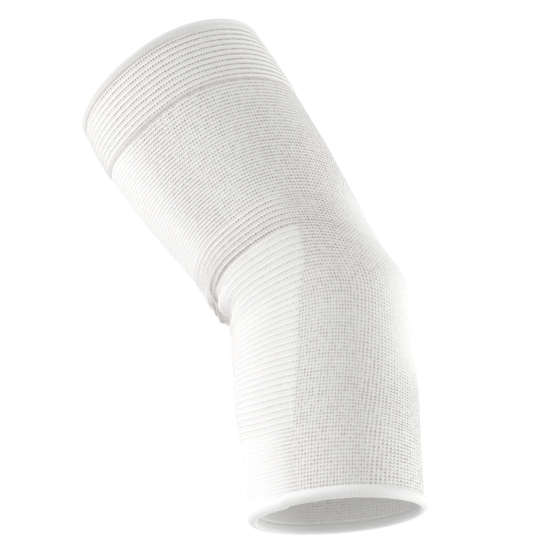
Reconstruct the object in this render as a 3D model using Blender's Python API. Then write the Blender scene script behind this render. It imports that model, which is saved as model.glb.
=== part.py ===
"""Knitted elbow brace: one bent elastic tube with a turned hem round each open end.

The bend lies in the plane Y = 0. The upper end points to -X and +Z, the lower end to -Z.
The origin is the middle of the bore at the elbow.
"""
import math

import bmesh
import bpy
import numpy as np

# Lengths along the middle of the tube and lean of its two legs from upright.
UPPER_LENGTH = 0.150
FOREARM_LENGTH = 0.106
UPPER_LEAN = math.radians(31.5)
FOREARM_LEAN = math.radians(4.5)
# Lengths over which the middle line bends and the courses turn with it.
BEND_SPAN = 0.050
TURN_SPAN = 0.110

# Half the width of the tube across the elbow, seen from the side, and the wall.
HALF_WIDTH = 0.045
WALL = 0.0018

# Hems: height along the tube, how far they stand out of the knit, and the gap to it.
UPPER_HEM_HEIGHT = 0.0043
UPPER_HEM_PROUD = 0.0010
LOWER_HEM_HEIGHT = 0.0056
LOWER_HEM_PROUD = 0.0019
HEM_GAP = 0.0003

# Coarse rib band under the upper hem, with a groove below it.
BAND_RIBS = 10
BAND_PITCH = 0.00268
BAND_HEIGHT = 0.0006
GROOVE_DEPTH = 0.0007

# Ribs gathered in the crook of the elbow, fading out round the sides.
CROOK_START = 0.1050
CROOK_RIBS = 6
CROOK_PITCH = 0.0031
CROOK_HEIGHT = 0.0008
CROOK_REACH = math.radians(95)

# Low ribs down the front of the forearm, ending at a line of stitches.
PANEL_RIBS = 30
PANEL_PITCH = 0.00306
PANEL_HEIGHT = 0.0004
PANEL_REACH = math.radians(76)

FOLD_HEIGHT = 0.0030
AROUND = 36

# Half sizes of the form as shares of HALF_WIDTH, at shares of the whole length.
# columns: along, front, back, depth
SECTIONS = (
    (0.000, 1.169, 1.073, 1.050),
    (0.077, 1.215, 1.094, 1.030),
    (0.154, 1.206, 1.086, 1.004),
    (0.231, 1.176, 1.064, 0.982),
    (0.308, 1.123, 1.040, 0.960),
    (0.385, 1.064, 0.998, 0.941),
    (0.440, 1.034, 0.963, 0.929),
    (0.490, 1.056, 0.924, 0.920),
    (0.530, 1.033, 0.917, 0.913),
    (0.560, 1.027, 0.953, 0.908),
    (0.590, 1.009, 0.997, 0.904),
    (0.620, 1.039, 0.981, 0.899),
    (0.650, 1.050, 0.955, 0.895),
    (0.700, 1.041, 0.947, 0.888),
    (0.770, 1.051, 0.940, 0.880),
    (0.846, 1.029, 0.916, 0.869),
    (0.923, 0.998, 0.892, 0.858),
    (1.000, 0.956, 0.870, 0.844),
)

# How the rows of stitches run round the tube: at a share of the length down the front,
# the shift along the tube beside the front and on round the back, as shares of the length.
# columns: along, side, back
COURSES = (
    (0.000, 0.000, 0.022),
    (0.125, 0.010, 0.047),
    (0.250, 0.004, 0.060),
    (0.410, -0.016, 0.085),
    (0.487, -0.021, 0.092),
    (0.560, -0.006, 0.064),
    (0.680, 0.008, 0.040),
    (0.842, 0.016, 0.018),
    (1.000, 0.000, 0.000),
)

# Folds pressed into the crook: place down the front and half width as shares of the
# length, depth as a share of FOLD_HEIGHT (minus stands out), reach round in degrees.
# columns: along, depth, half_width, reach
FOLDS = (
    (0.4863, 0.40, 0.0055, 100.0),
    (0.5078, 0.45, 0.0055, 62.0),
    (0.5320, -0.35, 0.0156, 60.0),
    (0.5490, 1.60, 0.0145, 48.0),
)

LENGTH = UPPER_LENGTH + FOREARM_LENGTH


def ramp(value):
    """Ease from 0 to 1."""
    value = np.clip(value, 0.0, 1.0)
    return value * value * (3.0 - 2.0 * value)


def column(table, name_index, along):
    """Smooth value of one column of a table at a share of the length."""
    stops = np.array([row[0] for row in table])
    values = np.array([row[name_index] for row in table])
    slopes = np.gradient(values, stops)
    along = min(max(along, stops[0]), stops[-1])
    i = min(max(int(np.searchsorted(stops, along)) - 1, 0), len(stops) - 2)
    step = stops[i + 1] - stops[i]
    t = (along - stops[i]) / step
    rise = values[i] * (1 + 2 * t) * (1 - t) ** 2 + values[i + 1] * t * t * (3 - 2 * t)
    bow = slopes[i] * t * (1 - t) ** 2 - slopes[i + 1] * t * t * (1 - t)
    return float(rise + bow * step)


def lean(distance, span):
    """Lean of the tube from upright at a distance from its upper edge."""
    share = ramp(0.5 - (distance - UPPER_LENGTH) / span)
    return FOREARM_LEAN + (UPPER_LEAN - FOREARM_LEAN) * share


def middle_line():
    """Distances, X and Z of the middle of the bore, with the elbow at the origin."""
    distances = np.linspace(-0.1 * LENGTH, 1.1 * LENGTH, 1201)
    step = distances[1] - distances[0]
    angles = lean(distances, BEND_SPAN)
    x = np.cumsum(np.sin(angles)) * step
    z = -np.cumsum(np.cos(angles)) * step
    x -= np.interp(UPPER_LENGTH, distances, x)
    z -= np.interp(UPPER_LENGTH, distances, z)
    return distances, x, z


MIDDLE = middle_line()


def fold(station, angle):
    """Depth of the pressed folds at a length down the front and an angle from it."""
    depth = 0.0
    for along, share, half_width, reach in FOLDS:
        across = math.exp(-(((station / LENGTH - along) / half_width) ** 2))
        fade = 1.0 - float(ramp(abs(math.degrees(angle)) / reach))
        depth += FOLD_HEIGHT * share * across * fade
    return depth


def place(station, angle, out=0.0):
    """Point on the form: length down the front, angle from the front, distance out of it."""
    turn = abs(math.degrees(angle))
    side = column(COURSES, 1, station / LENGTH) * float(ramp(turn / 50.0))
    back = column(COURSES, 2, station / LENGTH) * float(ramp((turn - 80.0) / 100.0))
    along = station + LENGTH * (side + back)
    share = along / LENGTH
    out -= fold(station, angle)
    across = math.cos(angle)
    if across > 0:
        reach = column(SECTIONS, 1, share) * HALF_WIDTH + out
    else:
        reach = column(SECTIONS, 2, share) * HALF_WIDTH + out
    depth = column(SECTIONS, 3, share) * HALF_WIDTH + out
    tilt = float(lean(along, TURN_SPAN))
    x = float(np.interp(along, MIDDLE[0], MIDDLE[1])) - reach * across * math.cos(tilt)
    z = float(np.interp(along, MIDDLE[0], MIDDLE[2])) - reach * across * math.sin(tilt)
    return (x, -depth * math.sin(angle), z)


def fade(angle, reach):
    """Full height at the front, nothing past the reach."""
    return 1.0 - float(ramp((abs(angle) - reach * 0.7) / (reach * 0.3)))


def rib_rows():
    """Rows of the outer face: station, rib height and how far round the rib reaches."""
    start = UPPER_HEM_HEIGHT + HEM_GAP
    end = LENGTH - LOWER_HEM_HEIGHT - HEM_GAP
    band_end = start + BAND_RIBS * BAND_PITCH
    crook_end = CROOK_START + CROOK_RIBS * CROOK_PITCH
    panel_end = crook_end + PANEL_RIBS * PANEL_PITCH
    rows = [(start, 0.0, math.pi)]
    for k in range(BAND_RIBS):
        rows.append((start + (k + 0.3) * BAND_PITCH, BAND_HEIGHT, 2 * math.pi))
        rows.append((start + (k + 0.7) * BAND_PITCH, BAND_HEIGHT, 2 * math.pi))
        rows.append((start + (k + 1.0) * BAND_PITCH, 0.0, 2 * math.pi))
    rows.append((band_end + 0.3 * BAND_PITCH, -GROOVE_DEPTH, 2 * math.pi))
    rows.append((band_end + 0.7 * BAND_PITCH, 0.0, 2 * math.pi))
    body = np.linspace(band_end + 0.7 * BAND_PITCH, CROOK_START, 9)[1:]
    rows += [(float(s), 0.0, math.pi) for s in body]
    for k in range(CROOK_RIBS):
        rows.append((CROOK_START + (k + 0.3) * CROOK_PITCH, CROOK_HEIGHT, CROOK_REACH))
        rows.append((CROOK_START + (k + 0.7) * CROOK_PITCH, CROOK_HEIGHT, CROOK_REACH))
        rows.append((CROOK_START + (k + 1.0) * CROOK_PITCH, 0.0, CROOK_REACH))
    for k in range(PANEL_RIBS):
        rows.append((crook_end + (k + 0.5) * PANEL_PITCH, PANEL_HEIGHT, PANEL_REACH))
        rows.append((crook_end + (k + 1.0) * PANEL_PITCH, 0.0, PANEL_REACH))
    rows += [(float(s), 0.0, math.pi) for s in np.linspace(panel_end, end, 6)[1:]]
    return rows


def lining_rows():
    """Stations of the inner face: close in the folds, wide elsewhere."""
    start = UPPER_HEM_HEIGHT + HEM_GAP
    end = LENGTH - LOWER_HEM_HEIGHT - HEM_GAP
    folds_start = LENGTH * (FOLDS[0][0] - 2 * FOLDS[0][2])
    folds_end = LENGTH * (FOLDS[-1][0] + 2 * FOLDS[-1][2])
    upper = np.linspace(start, folds_start, 8)
    folds = np.linspace(folds_start, folds_end, 13)[1:]
    lower = np.linspace(folds_end, end, 7)[1:]
    return [float(s) for s in upper] + [float(s) for s in folds] + [float(s) for s in lower]


def angles():
    """Angles of the columns of corners round the tube, from the front either way."""
    turns = [k if 2 * k <= AROUND else k - AROUND for k in range(AROUND)]
    return [2 * math.pi * turn / AROUND for turn in turns]


def loft(name, rings, colour, roughness, collection):
    """Closed body through a loop of rings, the last ring joined to the first."""
    mesh = bpy.data.meshes.new(name)
    shell = bmesh.new()
    corners = [[shell.verts.new(point) for point in ring] for ring in rings]
    for i, ring in enumerate(corners):
        following = corners[(i + 1) % len(corners)]
        for k in range(len(ring)):
            n = (k + 1) % len(ring)
            shell.faces.new((ring[k], ring[n], following[n], following[k]))
    bmesh.ops.recalc_face_normals(shell, faces=shell.faces[:])
    shell.to_mesh(mesh)
    shell.free()
    material = bpy.data.materials.new(name + "_cloth")
    material.use_nodes = True
    settings = material.node_tree.nodes["Principled BSDF"].inputs
    settings["Base Color"].default_value = colour
    settings["Roughness"].default_value = roughness
    settings["Metallic"].default_value = 0.0
    mesh.materials.append(material)
    body = bpy.data.objects.new(name, mesh)
    collection.objects.link(body)
    return body


def sleeve(collection):
    """Knitted tube: ribbed outside, plain inside."""
    rings = []
    for station, height, reach in rib_rows():
        rings.append([place(station, a, height * fade(a, reach)) for a in angles()])
    for station in reversed(lining_rows()):
        rings.append([place(station, a, -WALL) for a in angles()])
    return loft("sleeve", rings, (0.86, 0.85, 0.83, 1.0), 0.85, collection)


def hem(name, start, height, proud, collection):
    """Turned edge: a flat oval band carried round the end of the tube."""
    half_thick = (WALL + proud) / 2
    rings = []
    for k in range(8):
        turn = 2 * math.pi * (k + 0.5) / 8
        share_along = max(-1.0, min(1.0, 1.25 * math.cos(turn)))
        share_out = max(-1.0, min(1.0, 1.25 * math.sin(turn)))
        station = start + height * (0.5 + 0.5 * share_along)
        out = proud - half_thick + half_thick * share_out
        rings.append([place(station, a, out) for a in angles()])
    return loft(name, rings, (0.90, 0.89, 0.87, 1.0), 0.8, collection)


def main():
    for body in list(bpy.data.objects):
        bpy.data.objects.remove(body)
    collection = bpy.data.collections.new("elbow_brace")
    bpy.context.scene.collection.children.link(collection)
    sleeve(collection)
    hem("upper_hem", 0.0, UPPER_HEM_HEIGHT, UPPER_HEM_PROUD, collection)
    hem("lower_hem", LENGTH - LOWER_HEM_HEIGHT, LOWER_HEM_HEIGHT, LOWER_HEM_PROUD, collection)


main()
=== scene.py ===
"""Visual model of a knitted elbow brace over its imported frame, with its studio stage."""
import math

import bmesh
import bpy
import numpy as np
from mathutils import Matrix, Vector


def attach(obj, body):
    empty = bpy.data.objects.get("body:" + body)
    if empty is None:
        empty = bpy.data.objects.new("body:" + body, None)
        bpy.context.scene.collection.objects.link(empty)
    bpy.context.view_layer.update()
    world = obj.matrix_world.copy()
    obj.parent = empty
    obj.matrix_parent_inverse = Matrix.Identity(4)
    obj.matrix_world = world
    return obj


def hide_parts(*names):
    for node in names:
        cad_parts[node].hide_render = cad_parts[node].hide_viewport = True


bl_info = {
    "name": "Knitted elbow brace",
    "version": (1, 0, 0),
    "blender": (4, 5, 0),
    "location": "View3D > Sidebar > Elbow brace",
    "description": "Knitted elastic elbow brace with turned hems, and its stage",
    "category": "Add Mesh",
}

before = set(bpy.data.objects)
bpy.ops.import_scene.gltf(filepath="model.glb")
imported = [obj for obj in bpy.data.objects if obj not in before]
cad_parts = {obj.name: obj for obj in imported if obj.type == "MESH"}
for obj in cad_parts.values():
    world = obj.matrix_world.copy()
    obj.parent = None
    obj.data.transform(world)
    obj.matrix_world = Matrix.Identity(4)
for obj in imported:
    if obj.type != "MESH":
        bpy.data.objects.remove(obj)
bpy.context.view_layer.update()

# The form, with the same values as the solids: lengths along the middle, and leans.
UPPER_LENGTH = 0.150
FOREARM_LENGTH = 0.106
LENGTH = UPPER_LENGTH + FOREARM_LENGTH
UPPER_LEAN = math.radians(31.5)
FOREARM_LEAN = math.radians(4.5)
BEND_SPAN = 0.050
TURN_SPAN = 0.110
HALF_WIDTH = 0.045
FOLD_HEIGHT = 0.0030
LOWER_HEM = 0.0056
KNIT_START = 0.0032
WALES = 214

# Half widths of the tube, as shares of HALF_WIDTH: to its front, its back and its sides.
# columns: along, front, back, depth
SECTIONS = np.array((
    (0.000, 1.169, 1.073, 1.050),
    (0.077, 1.215, 1.094, 1.030),
    (0.154, 1.206, 1.086, 1.004),
    (0.231, 1.176, 1.064, 0.982),
    (0.308, 1.123, 1.040, 0.960),
    (0.385, 1.064, 0.998, 0.941),
    (0.440, 1.034, 0.963, 0.929),
    (0.490, 1.056, 0.924, 0.920),
    (0.530, 1.033, 0.917, 0.913),
    (0.560, 1.027, 0.953, 0.908),
    (0.590, 1.009, 0.997, 0.904),
    (0.620, 1.039, 0.981, 0.899),
    (0.650, 1.050, 0.955, 0.895),
    (0.700, 1.041, 0.947, 0.888),
    (0.770, 1.051, 0.940, 0.880),
    (0.846, 1.029, 0.916, 0.869),
    (0.923, 0.998, 0.892, 0.858),
    (1.000, 0.956, 0.870, 0.844),
))

# Shift of the rows of stitches beside the front and round the back, as shares of the length.
# columns: along, side, back
COURSES = np.array((
    (0.000, 0.000, 0.022),
    (0.125, 0.010, 0.047),
    (0.250, 0.004, 0.060),
    (0.410, -0.016, 0.085),
    (0.487, -0.021, 0.092),
    (0.560, -0.006, 0.064),
    (0.680, 0.008, 0.040),
    (0.842, 0.016, 0.018),
    (1.000, 0.000, 0.000),
))

# Folds pressed into the crook, in shares of the length and of FOLD_HEIGHT, and degrees.
# columns: along, depth, half_width, reach
FOLDS = (
    (0.4863, 0.40, 0.0055, 100.0),
    (0.5078, 0.45, 0.0055, 62.0),
    (0.5320, -0.35, 0.0156, 60.0),
    (0.5490, 1.60, 0.0145, 48.0),
)

# Sag of the gathered rows at the very front of the crook, as shares of the length.
# columns: along, sag
SAG = np.array((
    (0.000, 0.000),
    (0.410, 0.000),
    (0.440, 0.012),
    (0.465, 0.030),
    (0.486, 0.052),
    (0.505, 0.052),
    (0.535, 0.038),
    (0.586, 0.014),
    (0.645, 0.000),
    (1.000, 0.000),
))
SAG_REACH = 18.0

# Creases along the rows of the crook, with painted shade, in metres, with a reach in
# degrees.
# columns: station, depth, half_width, reach
CREASES = (
    (0.1213, 0.0007, 0.0008, 75.0),
    (0.1243, 0.0012, 0.0009, 100.0),
)

# Stretches of the knit down the front: where each ends, its fine courses, and the
# mesh rows given to each pair of fine courses.
# columns: name, end, courses, rows_per_pair
ZONES = (
    ("hem", 0.0046, 1, 4),
    ("band", 0.0314, 20, 6),
    ("groove", 0.0334, 1, 12),
    ("body", 0.1050, 36, 6),
    ("crook", 0.1236, 12, 6),
    ("panel", 0.2155, 60, 4),
    ("lower", 0.2520, 18, 6),
)

# Edge of the front panel of ribs and turn of the lines of stitches, in degrees.
# columns: along, edge, turn
WALE_TURN = np.array((
    (0.00, 110.0, 0.0),
    (0.40, 96.0, -21.0),
    (0.49, 99.0, -24.0),
    (0.61, 80.0, -26.0),
    (0.73, 74.0, -32.0),
    (0.86, 67.0, -39.0),
    (1.00, 62.0, -44.0),
))

# Share of that turn at angles round from the front.
FADE_ANGLES = (0.0, 66.0, 112.0, 180.0)
FADE_SHARES = (0.0, 1.0, 0.82, 0.0)

# Groove under the band of ribs: its middle below the start of its zone, its size, and the
# width of its painted shadow.
GROOVE_DROP = 0.0008
GROOVE_DEPTH = 0.0008
GROOVE_HALF_WIDTH = 0.0005
GROOVE_SHADE_HALF_WIDTH = 0.00045

# Meshes: columns round, rows down the inner face and across a hem, threads round a hem.
TUBE_COLUMNS = 200
INNER_ROWS = 84
HEM_COLUMNS = 480
HEM_ROWS = 40
UPPER_THREADS = 240
LOWER_THREADS = 200
WELD_DISTANCE = 0.00001

# Height of the small step in the lower hem, where its two ends are joined.
JOIN_STEP = 0.0009

# Surface: sheen and roughness of the cloth.
SHEEN = 0.15
KNIT_ROUGHNESS = 0.9
HEM_ROUGHNESS = 0.85

# Scales of the noises: knit patches, specks, wander of its lines and rows, fuzz.
PATCHES = 28.0
SPECKS = 420.0
WALE_WANDER = 60.0
COURSE_WANDER = 120.0
FUZZ = 900.0
# The same for the hems: wander of the threads, wear and fuzz.
THREAD_WANDER = 200.0
HEM_WEAR = 60.0
HEM_FUZZ = 500.0


def ramp(value):
    """Ease from 0 to 1."""
    value = np.clip(value, 0.0, 1.0)
    return value * value * (3.0 - 2.0 * value)


def bell(distance, half_width):
    """1 at no distance, easing to 0 on both sides."""
    return np.exp(-((distance / half_width) ** 2))


def angle_at(number, columns):
    """Angle from the front, in radians, at a column number of a rolled grid."""
    return number / columns * 2 * math.pi - math.pi


def column(table, index, along):
    """Smooth values of one column of a table at shares of the length."""
    stops, values = table[:, 0], table[:, index]
    slopes = np.gradient(values, stops)
    along = np.clip(along, stops[0], stops[-1])
    i = np.clip(np.searchsorted(stops, along) - 1, 0, len(stops) - 2)
    step = stops[i + 1] - stops[i]
    t = (along - stops[i]) / step
    rise = values[i] * (1 + 2 * t) * (1 - t) ** 2 + values[i + 1] * t * t * (3 - 2 * t)
    bow = slopes[i] * t * (1 - t) ** 2 - slopes[i + 1] * t * t * (1 - t)
    return rise + bow * step


def lean(distance, span):
    """Lean of the tube from upright at distances from its upper edge."""
    share = ramp(0.5 - (distance - UPPER_LENGTH) / span)
    return FOREARM_LEAN + (UPPER_LEAN - FOREARM_LEAN) * share


def middle_line():
    """Distances, X and Z of the middle of the bore, with the elbow at the origin."""
    distances = np.linspace(-0.1 * LENGTH, 1.1 * LENGTH, 1201)
    step = distances[1] - distances[0]
    angles = lean(distances, BEND_SPAN)
    x = np.cumsum(np.sin(angles)) * step
    z = -np.cumsum(np.cos(angles)) * step
    x -= np.interp(UPPER_LENGTH, distances, x)
    z -= np.interp(UPPER_LENGTH, distances, z)
    return distances, x, z


MIDDLE = middle_line()


def sagged(station, angle):
    """Lengths down the front with the sag of the gathered rows."""
    share = np.interp(station / LENGTH, SAG[:, 0], SAG[:, 1])
    return station + LENGTH * share / (1.0 + (np.degrees(angle) / SAG_REACH) ** 4)


def along_tube(station, angle):
    """Length along the middle for lengths down the front and angles from it."""
    station = sagged(station, angle)
    turn = np.abs(np.degrees(angle))
    side = column(COURSES, 1, station / LENGTH) * ramp(turn / 50.0)
    back = column(COURSES, 2, station / LENGTH) * ramp((turn - 80.0) / 100.0)
    return station + LENGTH * (side + back)


def place(station, angle, out):
    """Points of the form, as an array of X, Y and Z."""
    along = along_tube(station, angle)
    share = along / LENGTH
    turn = np.abs(np.degrees(angle))
    depth = np.zeros_like(along)
    lie = sagged(station, angle) / LENGTH
    for middle, size, half_width, reach in FOLDS:
        near = 1.0 - ramp(turn / reach)
        depth += FOLD_HEIGHT * size * bell(lie - middle, half_width) * near
    for middle, size, half_width, reach in CREASES:
        depth += size * bell(station - middle, half_width) * (1.0 - ramp(turn / reach))
    out = out - depth
    across = np.cos(angle)
    front, back = column(SECTIONS, 1, share), column(SECTIONS, 2, share)
    wide = np.where(across > 0, front, back) * HALF_WIDTH + out
    deep = column(SECTIONS, 3, share) * HALF_WIDTH + out
    tilt = lean(along, TURN_SPAN)
    x = np.interp(along, MIDDLE[0], MIDDLE[1]) - wide * across * np.cos(tilt)
    z = np.interp(along, MIDDLE[0], MIDDLE[2]) - wide * across * np.sin(tilt)
    return np.stack([x, -deep * np.sin(angle), z], -1)


class Value:
    """A number in the shader, on which Python's operators add Math nodes."""

    def __init__(self, shader, socket):
        self.shader = shader
        self.socket = socket

    def math(self, operation, *others):
        return self.shader.math(operation, self, *others)

    def __add__(self, other):
        return self.math("ADD", other)

    def __radd__(self, other):
        return self.math("ADD", other)

    def __sub__(self, other):
        return self.math("SUBTRACT", other)

    def __rsub__(self, other):
        return self.shader.math("SUBTRACT", other, self)

    def __mul__(self, other):
        return self.math("MULTIPLY", other)

    def __rmul__(self, other):
        return self.math("MULTIPLY", other)

    def __abs__(self):
        return self.math("ABSOLUTE")

    def __pow__(self, power):
        return self.math("POWER", power)

    def peak(self):
        """1 where the value is whole, 0 half way between."""
        return abs(self.math("FRACT") * 2.0 - 1.0)

    def step(self, low, high):
        """Eases from 0 at low to 1 at high."""
        found = self.shader.node(
            "ShaderNodeMapRange",
            {"interpolation_type": "SMOOTHSTEP"},
            {"Value": self, "From Min": low, "From Max": high},
        )
        return Value(self.shader, found.outputs["Result"])


class Shader:
    """Nodes of one material round its Principled shader."""

    def __init__(self, name):
        self.material = bpy.data.materials.new(name)
        self.material.use_nodes = True
        self.tree = self.material.node_tree
        self.cloth = self.tree.nodes["Principled BSDF"]

    def node(self, kind, settings=None, inputs=None):
        node = self.tree.nodes.new(kind)
        for key, value in (settings or {}).items():
            setattr(node, key, value)
        for key, value in (inputs or {}).items():
            self.feed(node.inputs[key], value)
        return node

    def feed(self, socket, value):
        if isinstance(value, Value):
            self.tree.links.new(value.socket, socket)
        elif isinstance(value, bpy.types.NodeSocket):
            self.tree.links.new(value, socket)
        else:
            socket.default_value = value

    def math(self, operation, *values):
        node = self.node(
            "ShaderNodeMath", {"operation": operation}, dict(enumerate(values))
        )
        return Value(self, node.outputs["Value"])

    def noise(self, scale, detail):
        """Noise from 0 to 1, about 0.5, fixed to the object."""
        place_from = self.node("ShaderNodeTexCoord").outputs["Object"]
        node = self.node(
            "ShaderNodeTexNoise",
            None,
            {"Vector": place_from, "Scale": scale, "Detail": detail},
        )
        return Value(self, node.outputs["Fac"])

    def attribute(self, name):
        node = self.node("ShaderNodeAttribute", {"attribute_name": name})
        return Value(self, node.outputs["Fac"])

    def uv(self, name):
        """The two numbers of a UV map."""
        node = self.node("ShaderNodeUVMap", {"uv_map": name})
        split = self.node(
            "ShaderNodeSeparateXYZ", None, {"Vector": node.outputs["UV"]}
        )
        return Value(self, split.outputs["X"]), Value(self, split.outputs["Y"])

    def cell(self, across, along):
        """A fixed random number for each whole step of two values."""
        joined = self.node(
            "ShaderNodeCombineXYZ",
            None,
            {"X": (across + 0.5).math("FLOOR"), "Y": (along + 0.5).math("FLOOR")},
        )
        found = self.node(
            "ShaderNodeTexWhiteNoise",
            {"noise_dimensions": "2D"},
            {"Vector": joined.outputs["Vector"]},
        )
        return Value(self, found.outputs["Value"])

    def mix(self, share, low, high):
        """Colour between two colours."""
        node = self.node(
            "ShaderNodeMix",
            {"data_type": "RGBA"},
            {"Factor": share, 6: low, 7: high},
        )
        return node.outputs[2]

    def finish(self, colour, roughness, height=None, distance=None):
        """The material, with a bump where a height is given."""
        self.feed(self.cloth.inputs["Base Color"], colour)
        self.feed(self.cloth.inputs["Roughness"], roughness)
        self.cloth.inputs["Sheen Weight"].default_value = SHEEN
        if height is not None:
            bump = self.node(
                "ShaderNodeBump", None, {"Height": height, "Distance": distance}
            )
            self.feed(self.cloth.inputs["Normal"], bump.outputs["Normal"])
        return self.material


def knit_material(settings):
    """White knit: rows of stitches, lines of stitches and small warm holes, with painted
    shade in its recesses.
    """
    shader = Shader("white_knit")
    wale, course = shader.uv("knit")
    coarse = shader.attribute("coarse")
    lines = shader.attribute("lines")
    patch = shader.noise(PATCHES, 3.0)
    panel = shader.attribute("panel")
    shade = shader.attribute("shade")
    speck = shader.noise(SPECKS, 2.0) - 0.5
    wale = wale + (shader.noise(WALE_WANDER, 1.0) - 0.5) * 0.22 + speck * 0.40
    course = course + (shader.noise(COURSE_WANDER, 2.0) - 0.5) * 0.20 + speck * 0.26
    between = wale.peak()
    row = (course + (between - 0.5) * 0.40).peak()
    rib = (course * 0.5).peak()
    stitch = shader.cell(wale, course)
    pair = shader.cell(wale, course * 0.5)
    # Dark marks of the stitches: the beige core seen through the holes, with painted shade
    # in the holes and along the valleys between ribs and rows.
    rib_holes_and_shade = rib.step(0.45, 1.0) * (between.step(0.20, 0.95) * 0.65 + 0.35)
    dotted = row.step(0.20, 1.0) * (between.step(0.10, 1.0) * 0.60 + 0.40)
    dashed = between.step(0.15, 0.95) * (1.0 - 0.45 * row.step(0.35, 1.0))
    crossed = dashed * 0.50 + dotted * 0.66
    fine_holes_and_shade = dotted * (1.0 - lines) + crossed * lines
    ribbed = rib_holes_and_shade * (0.76 + 0.30 * pair)
    ribbed = ribbed * (0.50 + 0.50 * shade) * (1.0 - 0.48 * panel)
    plain = shade * fine_holes_and_shade * (0.50 + 0.42 * stitch * (0.4 + patch))
    plain = plain * (1.0 - 0.18 * lines)
    # All the dark marks, plus the painted shade of the creases and the groove under the
    # band.
    holes_and_painted_shade = coarse * ribbed + (1.0 - coarse) * plain + shader.attribute("painted_crease_and_groove_shade")
    fine = (row ** 1.5) * (0.50 * coarse + (1.0 - coarse) * (0.08 + 0.88 * shade))
    height = 1.0 - 0.50 * fine - 0.22 * (between ** 2.0) - 0.8 * holes_and_painted_shade
    height = height + 0.22 * shader.noise(FUZZ, 2.0) + 0.16 * stitch
    colour = shader.mix(
        holes_and_painted_shade.step(0.0, 1.0),
        (*settings.knit_colour, 1.0),
        (*settings.hole_and_shade_colour, 1.0),
    )
    return shader.finish(colour, KNIT_ROUGHNESS, height, settings.stitch_depth)


def hem_material(settings, name, slant):
    """White overcast edge: threads laid side by side across it, with painted shade between
    them.
    """
    shader = Shader(name)
    around, across = shader.uv("knit")
    threads = shader.attribute("threads")
    needle = shader.attribute("needle")
    wander = (shader.noise(THREAD_WANDER, 1.0) - 0.5) * 0.8
    groove = (around + across * slant + wander).peak()
    worn = shader.noise(HEM_WEAR, 2.0)
    cut = threads * groove.step(0.30, 1.0) * (0.4 + 0.6 * worn)
    height = 1.0 - cut + 0.20 * shader.noise(HEM_FUZZ, 2.0)
    holes = needle * around.peak().step(0.25, 0.9) * (0.4 + 0.6 * worn)
    # Needle holes, with painted shade in them; painted shade in the grooves between threads;
    # and painted shade over the threaded zone, under the upper roll and beneath the lower
    # roll.
    colour = shader.mix(
        holes * 0.80 + cut * 0.45 + threads * 0.12,
        (*settings.hem_colour, 1.0),
        (*settings.hole_and_shade_colour, 1.0),
    )
    return shader.finish(colour, HEM_ROUGHNESS, height, settings.hem_depth)


def rolled_grid(name, columns, rows):
    """Grid primitive of columns by rows, with its UV map named for the bake."""
    bpy.ops.object.select_all(action="DESELECT")
    bpy.ops.mesh.primitive_grid_add(
        x_subdivisions=columns, y_subdivisions=rows, size=1.0, calc_uvs=True
    )
    piece = bpy.context.object
    piece.name = name
    piece.data.name = name
    piece.data.uv_layers[0].name = "OFBake"
    return piece


def grid_shares(piece, columns, rows):
    """Whole column and row number of each corner of a grid primitive."""
    mesh = piece.data
    corners = np.empty(len(mesh.vertices) * 3)
    mesh.vertices.foreach_get("co", corners)
    corners = corners.reshape(-1, 3)
    across = np.rint((corners[:, 0] + 0.5) * columns).astype(int)
    down = np.rint((corners[:, 1] + 0.5) * rows).astype(int)
    return across, down


def set_points(piece, points):
    piece.data.vertices.foreach_set("co", points.astype(np.float32).ravel())
    piece.data.update()


def set_attribute(piece, name, values):
    layer = piece.data.attributes.new(name, "FLOAT", "POINT")
    layer.data.foreach_set("value", values.astype(np.float32))


def set_knit_map(piece, columns, rows, wale_of, course_of):
    """UV map of wale and course numbers, worked out from the whole grid numbers."""
    mesh = piece.data
    first = mesh.uv_layers["OFBake"]
    flat = np.empty(len(mesh.loops) * 2, np.float32)
    first.data.foreach_get("uv", flat)
    flat = flat.reshape(-1, 2)
    across = np.rint(flat[:, 0] * columns).astype(int)
    down = np.rint(flat[:, 1] * rows).astype(int)
    second = mesh.uv_layers.new(name="knit")
    both = np.stack([wale_of(across, down), course_of(across, down)], -1)
    second.data.foreach_set("uv", both.astype(np.float32).ravel())
    mesh.uv_layers.active = mesh.uv_layers["OFBake"]


def close_and_smooth(piece):
    """Joins the edges of a rolled grid, turns its faces outwards and smooths them."""
    bpy.context.view_layer.objects.active = piece
    bpy.ops.object.mode_set(mode="EDIT")
    bpy.ops.mesh.select_all(action="SELECT")
    bpy.ops.mesh.remove_doubles(threshold=WELD_DISTANCE)
    bpy.ops.mesh.normals_make_consistent(inside=False)
    bpy.ops.object.mode_set(mode="OBJECT")
    shell = bmesh.new()
    shell.from_mesh(piece.data)
    if shell.calc_volume(signed=True) < 0.0:
        bmesh.ops.reverse_faces(shell, faces=shell.faces[:])
        shell.to_mesh(piece.data)
    shell.free()
    bpy.ops.object.shade_smooth()


def knit_rows():
    """Station and fine course number of each mesh row down the outer face."""
    stations, courses = [KNIT_START], [0.0]
    start, count = KNIT_START, 0.0
    for _name, end, number, per_pair in ZONES:
        steps = max(1, int(round(number * per_pair / 2)))
        for k in range(1, steps + 1):
            stations.append(start + (end - start) * k / steps)
            courses.append(count + number * k / steps)
        start, count = end, count + number
    return np.array(stations), np.array(courses)


def zone_span(name):
    """Start and end station of a stretch of knit."""
    start = KNIT_START
    for label, end, _number, _rows in ZONES:
        if label == name:
            return start, end
        start = end
    raise ValueError(name)


def within(value, start, end, edge=0.0006):
    """1 between two values, stations or others, with eased ends as long as edge."""
    return ramp((value - start) / edge + 0.5) * ramp((end - value) / edge + 0.5)


def rib_share(station, angle):
    """How much the ribs of the band, crook and panel show at points: 1 full, 0 none."""
    turn = np.abs(np.degrees(angle))
    edge = column(WALE_TURN, 1, station / LENGTH)
    band = within(station, *zone_span("band"))
    crook = within(station, *zone_span("crook"))
    panel = within(station, *zone_span("panel"))
    side = 1.0 - ramp((turn - edge) / 2.2 + 0.5)
    crook_side = 1.0 - ramp((turn - edge + 8.0) / 16.0)
    return band, crook * crook_side, panel * side


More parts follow.
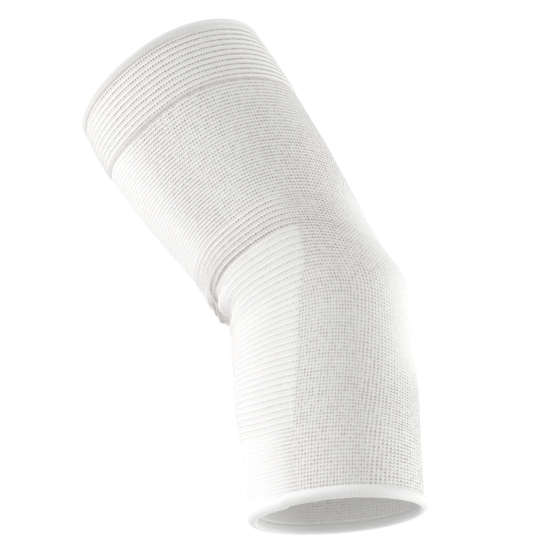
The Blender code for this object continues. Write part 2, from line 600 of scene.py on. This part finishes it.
def tube_rows():
    """Station, course number and inner share of each mesh row, down and back up."""
    outer, outer_courses = knit_rows()
    inner = np.linspace(outer[-1], outer[0], INNER_ROWS)
    inner_courses = np.linspace(outer_courses[-1], outer_courses[0], INNER_ROWS)
    stations = np.concatenate([outer, inner, outer[:1]])
    courses = np.concatenate([outer_courses, inner_courses, outer_courses[:1]])
    inside = np.concatenate([np.zeros(len(outer)), np.ones(INNER_ROWS), np.zeros(1)])
    return stations, courses, inside


def groove_station():
    """Station of the middle of the groove under the band."""
    return zone_span("groove")[0] + GROOVE_DROP


def set_shades(piece, station, angle, coarse, inner):
    """Hole strength, painted shade of the creases and the groove, and where lines of
    stitches show.
    """
    outer = 1.0 - inner
    share = along_tube(station, angle) / LENGTH
    turn = np.abs(np.degrees(angle))
    forearm = ramp((share - 0.50) / 0.08)
    # Holes close up at the front and under the panel, and where the elbow stretches them.
    stretched = ramp((turn - 120.0) / 40.0) * within(share, 0.42, 0.75, 0.10)
    front = 1.0 - ramp((turn - 28.0) / (30.0 + 12.0 * forearm))
    below = ramp((share - 0.835) / 0.02) * (1.0 - ramp((turn - 50.0) / 25.0))
    shade = 1.0 - 0.65 * front - 0.80 * stretched
    shade = np.clip(shade * (1.0 - 0.72 * below), 0.0, 1.0)
    set_attribute(piece, "shade", shade * (1.0 - 0.5 * inner))
    # Painted shadow along the groove under the band, and painted shade in the creases of the
    # crook.
    painted_shade = 0.34 * bell(station - groove_station(), GROOVE_SHADE_HALF_WIDTH)
    near = 1.0 - ramp((turn - 12.0) / 55.0)
    for middle, _size, half_width, _reach in CREASES:
        painted_shade += (0.10 + 0.26 * near) * bell(station - middle, half_width)
    set_attribute(piece, "painted_crease_and_groove_shade", painted_shade * outer)
    side = ramp((turn - 58.0) / 10.0) * (1.0 - ramp((turn - 118.0) / 30.0))
    upper = within(share, 0.15, 0.42, 0.06) * within(turn, 66.0, 84.0, 8.0)
    lines = (side * forearm * 0.80 + upper * 0.45) * (1.0 - coarse) * outer
    set_attribute(piece, "lines", lines)


class BraceSettings(bpy.types.PropertyGroup):
    """Sizes and colours of the knit."""

    band_height: bpy.props.FloatProperty(
        name="Band rib height", description="Height of the ribs under the upper hem",
        default=0.00055, min=0.0, max=0.002, unit="LENGTH")
    crook_height: bpy.props.FloatProperty(
        name="Crook rib height", description="Height of the ribs in the crook",
        default=0.0008, min=0.0, max=0.002, unit="LENGTH")
    panel_height: bpy.props.FloatProperty(
        name="Forearm rib height", description="Height of the ribs down the forearm",
        default=0.00035, min=0.0, max=0.002, unit="LENGTH")
    wall: bpy.props.FloatProperty(
        name="Wall", description="Thickness of the knit",
        default=0.0017, min=0.0005, max=0.004, unit="LENGTH")
    stitch_depth: bpy.props.FloatProperty(
        name="Stitch depth", description="Depth of the bump of single stitches",
        default=0.00035, min=0.0, max=0.002, unit="LENGTH")
    hem_depth: bpy.props.FloatProperty(
        name="Hem thread depth", description="Depth of the bump of the hem threads",
        default=0.00008, min=0.0, max=0.002, unit="LENGTH")
    knit_colour: bpy.props.FloatVectorProperty(
        name="Knit colour", description="Colour of the yarn",
        default=(0.91, 0.90, 0.895), min=0.0, max=1.0, subtype="COLOR", size=3)
    # The beige core seen through the holes; the same colour paints the shade in the holes,
    # creases, groove and hem grooves.
    hole_and_shade_colour: bpy.props.FloatVectorProperty(
        name="Hole colour", description="Colour between the stitches",
        default=(0.36, 0.31, 0.26), min=0.0, max=1.0, subtype="COLOR", size=3)
    hem_colour: bpy.props.FloatVectorProperty(
        name="Hem colour", description="Colour of the overcast edges",
        default=(0.89, 0.89, 0.885), min=0.0, max=1.0, subtype="COLOR", size=3)


class StageSettings(bpy.types.PropertyGroup):
    """Lights of the stage."""

    key: bpy.props.FloatProperty(
        name="Key light", description="Power of the large light on the left",
        default=10.5, min=0.0, unit="POWER")
    rim: bpy.props.FloatProperty(
        name="Rim light", description="Power of the light behind on the right",
        default=11.0, min=0.0, unit="POWER")
    ambient: bpy.props.FloatProperty(
        name="Ambient", description="Strength of the light from all round",
        default=0.80, min=0.0)


class BRACE_OT_sleeve(bpy.types.Operator):
    """Make the knitted tube with its ribs, folds and inner face"""

    bl_idname = "brace.sleeve"
    bl_label = "Knitted sleeve"

    def execute(self, context):
        settings = context.scene.brace
        stations, courses, inside = tube_rows()
        rows = len(stations) - 1
        piece = rolled_grid("knit_sleeve", TUBE_COLUMNS, rows)
        across, down = grid_shares(piece, TUBE_COLUMNS, rows)
        angle = angle_at(across, TUBE_COLUMNS)
        station = stations[down]
        inner = inside[down]
        band, crook, panel = rib_share(station, angle)
        crest = (0.5 - 0.5 * np.cos(np.pi * (courses[down] - 1.0))) ** 0.75
        crook_start, crook_end = zone_span("crook")
        crook_share = (station - crook_start) / (crook_end - crook_start)
        ribs = (
            band * settings.band_height
            + crook * settings.crook_height * (0.75 + 0.75 * ramp(crook_share))
            + panel * settings.panel_height
        )
        groove = GROOVE_DEPTH * bell(station - groove_station(), GROOVE_HALF_WIDTH)
        out = (ribs * crest - groove) * (1.0 - inner) - inner * settings.wall
        set_points(piece, place(station, angle, out))
        coarse = np.clip(band + crook + panel, 0.0, 1.0) * (1.0 - inner)
        set_attribute(piece, "coarse", coarse)
        set_attribute(piece, "panel", panel * (1.0 - inner))
        set_shades(piece, station, angle, coarse, inner)

        def wale_of(column_number, row_number):
            turned = column(WALE_TURN, 2, stations[row_number] / LENGTH)
            around = angle_at(column_number, TUBE_COLUMNS)
            mirrored = np.where(around < 0, -1.0, 1.0)
            fade = np.interp(np.abs(np.degrees(around)), FADE_ANGLES, FADE_SHARES)
            straight = WALES * column_number / TUBE_COLUMNS
            return straight - mirrored * fade * turned * WALES / 360

        set_knit_map(piece, TUBE_COLUMNS, rows, wale_of, lambda c, r: courses[r])
        close_and_smooth(piece)
        piece.data.materials.append(knit_material(settings))
        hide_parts("sleeve")
        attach(piece, "root")
        return {"FINISHED"}


def ring_piece(name, table, threads, shown, shift=None):
    """Band carried round one end: rows of station, out, threads, needle and slant.

    shown gives how much of the threads, with their painted shade, and of the needle holes
    shows at each angle, and shift how far the band moves along the tube there.
    """
    columns = HEM_COLUMNS
    rows = len(table) - 1
    piece = rolled_grid(name, columns, rows)
    across, down = grid_shares(piece, columns, rows)
    angle = angle_at(across, columns)
    station = table[down, 0]
    if shift is not None:
        station = station + shift(angle)
    set_points(piece, place(station, angle, table[down, 1]))
    thread_share, needle_share = shown(np.degrees(angle))
    set_attribute(piece, "needle", np.clip(table[down, 3], 0.0, 1.0) * needle_share)
    set_attribute(piece, "threads", np.clip(table[down, 2], 0.0, 1.0) * thread_share)
    set_knit_map(
        piece, columns, rows,
        lambda c, r: threads * c / columns, lambda c, r: table[r, 4],
    )
    close_and_smooth(piece)
    return piece


def closed_profile(points, count):
    """Smooth closed loop through the rows of a short table, with its first row again."""
    table = np.array(points, float)
    n = len(table)
    found = []
    for k in range(count):
        at = k / count * n
        i = int(at)
        t = at - i
        p0, p1, p2, p3 = (table[(i + j) % n] for j in (-1, 0, 1, 2))
        found.append(0.5 * (
            2 * p1 + (p2 - p0) * t + (2 * p0 - 5 * p1 + 4 * p2 - p3) * t * t
            + (3 * p1 - 3 * p2 - p0 + p3) * t ** 3
        ))
    found.append(found[0])
    return np.array(found)


class BRACE_OT_upper_hem(bpy.types.Operator):
    """Make the turned edge round the upper-arm end"""

    bl_idname = "brace.upper_hem"
    bl_label = "Upper hem"

    def execute(self, context):
        settings = context.scene.brace
        # The threads column also sets the painted shade over the stitched zone under the
        # roll.
        # columns: station, out, threads, needle, slant
        profile = closed_profile((
            (0.0048, -0.0004, 0.1, 0.4, 1.6),
            (0.0044, 0.0003, 0.5, 0.9, 1.4),
            (0.0036, 0.0007, 1.0, 0.1, 1.0),
            (0.0026, 0.0007, 1.0, 0.0, 0.5),
            (0.0018, 0.0009, 0.4, 0.0, 0.2),
            (0.0008, 0.0011, 0.0, 0.0, 0.0),
            (0.0000, 0.0006, 0.0, 0.0, -0.3),
            (-0.0002, -0.0002, 0.0, 0.0, -0.5),
            (0.0003, -0.0012, 0.1, 0.0, -0.8),
            (0.0014, -0.0017, 0.1, 0.0, -1.0),
            (0.0030, -0.0017, 0.2, 0.0, -1.2),
            (0.0042, -0.0014, 0.2, 0.0, -1.4),
        ), HEM_ROWS)

        def shown(turn):
            seam = ramp((turn - 5.0) / 20.0) * (1.0 - ramp((turn - 85.0) / 25.0))
            return 0.70 + 0.30 * seam, 0.25 + 0.75 * seam

        piece = ring_piece("upper_hem_edge", profile, UPPER_THREADS, shown)
        piece.data.materials.append(hem_material(settings, "upper_overcast", 1.0))
        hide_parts("upper_hem")
        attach(piece, "root")
        return {"FINISHED"}


class BRACE_OT_lower_hem(bpy.types.Operator):
    """Make the rolled edge round the forearm end, with its join"""

    bl_idname = "brace.lower_hem"
    bl_label = "Lower hem"

    def execute(self, context):
        settings = context.scene.brace
        top = LENGTH - LOWER_HEM
        # The threads column also sets the painted shade on the underside of the roll.
        # columns: station, out, threads, needle, slant
        profile = closed_profile((
            (top - 0.0008, 0.0000, 0.0, 0.0, 0.2),
            (top - 0.0003, 0.0013, 0.0, 0.0, 0.2),
            (top + 0.0010, 0.0024, 0.0, 0.0, 0.1),
            (top + 0.0027, 0.0027, 0.1, 0.0, 0.1),
            (top + 0.0044, 0.0020, 0.6, 0.0, 0.0),
            (top + 0.0055, 0.0007, 1.0, 0.0, 0.0),
            (top + 0.0058, -0.0008, 1.0, 0.0, 0.0),
            (top + 0.0050, -0.0018, 0.5, 0.0, 0.0),
            (top + 0.0030, -0.0021, 0.1, 0.0, 0.1),
            (top + 0.0006, -0.0018, 0.0, 0.0, 0.2),
        ), HEM_ROWS)

        def shift(angle):
            turn = np.degrees(angle)
            step = ramp((turn - 54.0) / 5.0) * (1.0 - ramp((turn - 90.0) / 70.0))
            return -JOIN_STEP * step

        def shown(turn):
            near = ramp((turn - 45.0) / 30.0) * (1.0 - ramp((turn - 110.0) / 30.0))
            return 0.15 + 0.85 * near, 0.0 * turn

        piece = ring_piece("lower_hem_roll", profile, LOWER_THREADS, shown, shift)
        piece.data.materials.append(hem_material(settings, "lower_overcast", 0.6))
        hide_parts("lower_hem")
        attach(piece, "root")
        return {"FINISHED"}


# Camera: turn and rise in degrees, distance, the point it looks at, the width of the
# image in pixels, the metres that a pixel shows there, and the sensor's width in mm.
VIEW_TURN = 6.0
VIEW_RISE = -19.0
VIEW_DISTANCE = 0.945
VIEW_POINT = (-0.0257, 0.0, 0.0174)
IMAGE_WIDTH = 535
PIXEL = 0.0005
SENSOR = 36.0
# The stage: height, size and colour of the floor, and the colours of the lights.
FLOOR = -0.62
FLOOR_SIZE = 8.0
FLOOR_COLOUR = (0.80, 0.80, 0.80, 1.0)
FLOOR_ROUGHNESS = 0.9
WHITE = (1.0, 1.0, 1.0)
RIM_WHITE = (0.98, 1.0, 0.97)


def aimed(piece, location, target):
    """Puts a light or camera in place, with its front to the target."""
    way = Vector(target) - Vector(location)
    piece.location = location
    piece.rotation_euler = way.to_track_quat("-Z", "Y").to_euler()


def area_light(name, location, size, power, colour):
    bpy.ops.object.light_add(type="AREA")
    lamp = bpy.context.object
    lamp.name = name
    lamp.data.shape = "RECTANGLE"
    lamp.data.size, lamp.data.size_y = size
    lamp.data.energy = power
    lamp.data.color = colour
    aimed(lamp, location, (0.0, 0.0, 0.0))


class BRACE_OT_stage(bpy.types.Operator):
    """Make the floor, the soft studio light, the white surround and the camera"""

    bl_idname = "brace.stage"
    bl_label = "Stage"

    def execute(self, context):
        settings = context.scene.brace_stage
        bpy.ops.object.select_all(action="DESELECT")
        bpy.ops.mesh.primitive_plane_add(size=FLOOR_SIZE, location=(0.0, 0.0, FLOOR))
        floor = context.object
        floor.name = "floor"
        pale = Shader("pale_floor")
        floor.data.materials.append(pale.finish(FLOOR_COLOUR, FLOOR_ROUGHNESS))
        area_light("key", (-1.45, -0.45, 0.37), (0.9, 1.1), settings.key, WHITE)
        area_light("rim", (1.20, 0.45, -0.40), (0.5, 1.1), settings.rim, RIM_WHITE)
        world = bpy.data.worlds.new("studio")
        world.use_nodes = True
        context.scene.world = world
        tree = world.node_tree
        surround = tree.nodes["Background"]
        surround.inputs["Color"].default_value = (*WHITE, 1.0)
        surround.inputs["Strength"].default_value = settings.ambient
        seen = tree.nodes.new("ShaderNodeBackground")
        seen.inputs["Strength"].default_value = 1.0
        seen.inputs["Color"].default_value = (*WHITE, 1.0)
        path = tree.nodes.new("ShaderNodeLightPath")
        mixed = tree.nodes.new("ShaderNodeMixShader")
        tree.links.new(path.outputs["Is Camera Ray"], mixed.inputs[0])
        tree.links.new(surround.outputs[0], mixed.inputs[1])
        tree.links.new(seen.outputs[0], mixed.inputs[2])
        tree.links.new(mixed.outputs[0], tree.nodes["World Output"].inputs["Surface"])
        turn, rise = math.radians(VIEW_TURN), math.radians(VIEW_RISE)
        away = Vector((
            math.sin(turn) * math.cos(rise), -math.cos(turn) * math.cos(rise), math.sin(rise)
        ))
        bpy.ops.object.camera_add()
        camera = context.object
        camera.name = "camera"
        camera.data.sensor_fit = "HORIZONTAL"
        camera.data.sensor_width = SENSOR
        camera.data.lens = SENSOR * VIEW_DISTANCE / (PIXEL * IMAGE_WIDTH)
        aimed(camera, Vector(VIEW_POINT) + away * VIEW_DISTANCE, VIEW_POINT)
        context.scene.camera = camera
        context.scene.view_settings.view_transform = "Standard"
        return {"FINISHED"}


class BRACE_PT_panel(bpy.types.Panel):
    """Panel of the brace's settings and steps"""

    bl_label = "Elbow brace"
    bl_idname = "BRACE_PT_panel"
    bl_space_type = "VIEW_3D"
    bl_region_type = "UI"
    bl_category = "Elbow brace"

    def draw(self, context):
        for group in (context.scene.brace, context.scene.brace_stage):
            for name in group.__annotations__:
                self.layout.prop(group, name)
        for operator in OPERATORS:
            self.layout.operator(operator.bl_idname)


OPERATORS = (BRACE_OT_sleeve, BRACE_OT_upper_hem, BRACE_OT_lower_hem, BRACE_OT_stage)
CLASSES = (BraceSettings, StageSettings, *OPERATORS, BRACE_PT_panel)


def register():
    for item in CLASSES:
        bpy.utils.register_class(item)
    bpy.types.Scene.brace = bpy.props.PointerProperty(type=BraceSettings)
    bpy.types.Scene.brace_stage = bpy.props.PointerProperty(type=StageSettings)


def unregister():
    del bpy.types.Scene.brace
    del bpy.types.Scene.brace_stage
    for item in reversed(CLASSES):
        bpy.utils.unregister_class(item)


def main():
    register()
    bpy.ops.brace.stage()
    bpy.ops.brace.sleeve()
    bpy.ops.brace.upper_hem()
    bpy.ops.brace.lower_hem()


if __name__ == "__main__":
    main()
